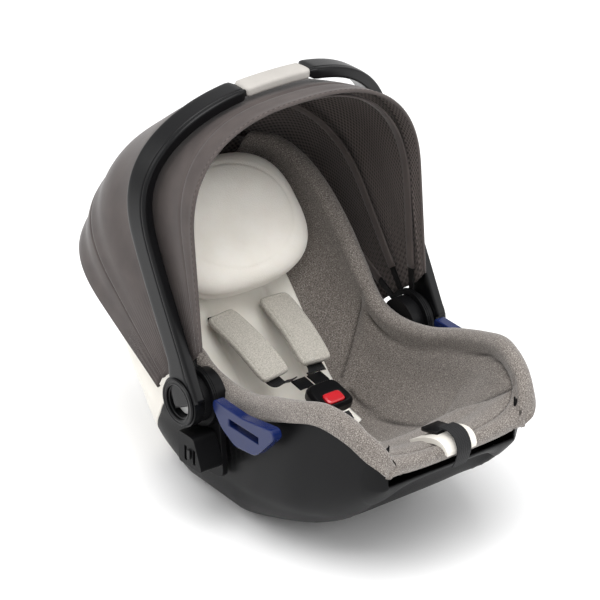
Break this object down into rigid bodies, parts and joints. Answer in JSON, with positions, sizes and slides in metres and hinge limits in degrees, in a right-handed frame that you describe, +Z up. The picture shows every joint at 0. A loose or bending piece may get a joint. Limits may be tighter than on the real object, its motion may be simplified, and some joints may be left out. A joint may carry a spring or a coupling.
{
  "type": "infant_car_seat",
  "caption": "Rear-facing infant car seat with rocker shell, padded bucket, harness, folding canopy and turning carry handle.",
  "frame": {"origin": "Under the middle of the seat's length and width, on the floor it stands on", "axes": "+X to the left of the child, +Y towards the head end, +Z up"},
  "size_m": [0.4384, 0.6775, 0.5817],
  "materials": {
    "black_plastic": "fine satin grain",
    "white_plastic": "smooth off-white",
    "grip_rubber": "soft warm grey, matt",
    "blue_plastic": "glossy dark blue",
    "red_plastic": "satin red",
    "melange_fabric": "grey-beige melange knit",
    "cream_cotton": "cream jersey cotton",
    "pad_twill": "light grey twill",
    "canopy_mesh": "taupe woven mesh",
    "black_webbing": "woven polyester webbing",
    "white_foam": "moulded bead foam",
    "spring_steel": "bright spring wire and plate"
  },
  "bodies": {
    "shell": {"lower_shell": "black_plastic", "buckle_body": "black_plastic", "canopy_bow_rear": "black_plastic", "hub_drum_left": "black_plastic", "adapter_socket_left": "black_plastic", "buckle_tongue_left": "black_plastic", "release_spring_left": "spring_steel", "belt_guide_left": "blue_plastic", "shoulder_pad_left": "pad_twill", "harness_strap_left": "black_webbing", "hub_drum_right": "black_plastic", "adapter_socket_right": "black_plastic", "buckle_tongue_right": "black_plastic", "release_spring_right": "spring_steel", "belt_guide_right": "blue_plastic", "shoulder_pad_right": "pad_twill", "harness_strap_right": "black_webbing", "rear_shell": "white_plastic", "adjuster_bezel": "white_plastic", "seat_cover": "melange_fabric", "infant_insert": "cream_cotton", "canopy_hood": "canopy_mesh", "canopy_rear_panel": "canopy_mesh", "crotch_strap": "black_webbing", "adjuster_strap": "black_webbing", "harness_pull_strap": "black_webbing", "foam_liner": "white_foam", "splitter_plate": "spring_steel"},
    "handle": {"handle_bar": "black_plastic", "handle_grip": "grip_rubber", "hub_ring_left": "black_plastic", "hub_ring_right": "black_plastic"},
    "handle_button_left": {"handle_button_left": "white_plastic", "lock_gear_left": "black_plastic"},
    "handle_button_right": {"handle_button_right": "white_plastic", "lock_gear_right": "black_plastic"},
    "canopy_front": {"canopy_bow_front": "black_plastic"},
    "canopy_middle": {"canopy_bow_middle": "black_plastic"},
    "headrest": {"headrest_pad": "cream_cotton", "headrest_board": "black_plastic"},
    "buckle_button": {"buckle_button": "red_plastic"},
    "adjuster_lever": {"adjuster_lever": "black_plastic"},
    "rear_lever": {"rear_release_lever": "black_plastic"},
    "adapter_catch_left": {"adapter_catch_left": "white_plastic"},
    "adapter_catch_right": {"adapter_catch_right": "white_plastic"}
  },
  "joints": [
    {"name": "handle_turn", "type": "hinge", "parent": "shell", "child": "handle", "pos_m": [0, -0.0073, 0.19], "axis": [1, 0, 0], "range_deg": [-70, 100]},
    {"name": "handle_release_left", "type": "slide", "parent": "shell", "child": "handle_button_left", "axis": [-1, 0, 0], "range_m": [0, 0.006], "stiffness_N_per_m": 900, "deforming": ["release_spring_left"]},
    {"name": "handle_release_right", "type": "slide", "parent": "shell", "child": "handle_button_right", "axis": [1, 0, 0], "range_m": [0, 0.006], "stiffness_N_per_m": 900, "deforming": ["release_spring_right"]},
    {"name": "canopy_fold", "type": "hinge", "parent": "shell", "child": "canopy_front", "pos_m": [0, -0.0073, 0.19], "axis": [-1, 0, 0], "range_deg": [0, 46], "deforming": ["canopy_hood"]},
    {"name": "canopy_middle_fold", "type": "hinge", "parent": "shell", "child": "canopy_middle", "pos_m": [0, -0.0073, 0.19], "axis": [-1, 0, 0], "range_deg": [0, 23]},
    {"name": "headrest_slide", "type": "slide", "parent": "shell", "child": "headrest", "axis": [0, 0.7071, 0.7071], "range_m": [0, 0.03]},
    {"name": "buckle_press", "type": "slide", "parent": "shell", "child": "buckle_button", "axis": [0, 0.3162, -0.9487], "range_m": [0, 0.002], "stiffness_N_per_m": 1500},
    {"name": "adjuster_press", "type": "slide", "parent": "shell", "child": "adjuster_lever", "axis": [0, -0.2079, -0.9781], "range_m": [0, 0.003], "stiffness_N_per_m": 1200},
    {"name": "rear_lever_pull", "type": "slide", "parent": "shell", "child": "rear_lever", "axis": [0, 0.6293, 0.7771], "range_m": [0, 0.01], "stiffness_N_per_m": 800},
    {"name": "adapter_catch_press_left", "type": "slide", "parent": "shell", "child": "adapter_catch_left", "axis": [0, 0, -1], "range_m": [0, 0.004], "stiffness_N_per_m": 800},
    {"name": "adapter_catch_press_right", "type": "slide", "parent": "shell", "child": "adapter_catch_right", "axis": [0, 0, -1], "range_m": [0, 0.004], "stiffness_N_per_m": 800}
  ],
  "couplings": [
    {"joint": "canopy_middle_fold", "follows": "canopy_fold", "ratio": 0.5}
  ]
}
